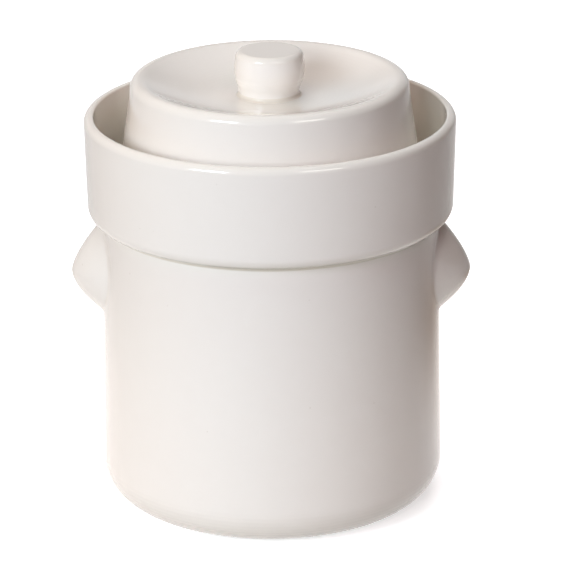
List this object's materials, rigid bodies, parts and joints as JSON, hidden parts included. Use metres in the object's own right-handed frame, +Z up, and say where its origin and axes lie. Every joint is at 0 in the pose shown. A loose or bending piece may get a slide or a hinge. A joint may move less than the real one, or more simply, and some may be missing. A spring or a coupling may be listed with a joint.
{
  "type": "water seal pickle jar",
  "caption": "Round stoneware pickle jar with lifting lugs, a water-filled collar round its neck, a knobbed lid that stands in the water, and half-moon weights inside.",
  "frame": {"origin": "middle of the foot, on the surface that the jar stands on", "axes": "+Z up the jar's axis, X through the two lugs, Y across them"},
  "size_m": [0.223, 0.206, 0.258],
  "materials": {
    "glaze": "glossy warm white glaze",
    "bare_clay": "matt unglazed clay"
  },
  "bodies": {
    "crock": {"crock_pot": "glaze", "water_trough": "glaze", "left_lug": "glaze", "right_lug": "glaze"},
    "lid": {"lid": "glaze", "lid_knob": "glaze"},
    "weight_left": {"weight_left": "bare_clay"},
    "weight_right": {"weight_right": "bare_clay"}
  },
  "joints": [
    {"name": "lid_lift", "type": "slide", "parent": "crock", "child": "lid", "axis": [0, 0, 1], "range_m": [0, 0.12]},
    {"name": "weight_left_lift", "type": "slide", "parent": "crock", "child": "weight_left", "axis": [0, 0, 1], "range_m": [0, 0.12]},
    {"name": "weight_right_lift", "type": "slide", "parent": "crock", "child": "weight_right", "axis": [0, 0, 1], "range_m": [0, 0.12]}
  ]
}
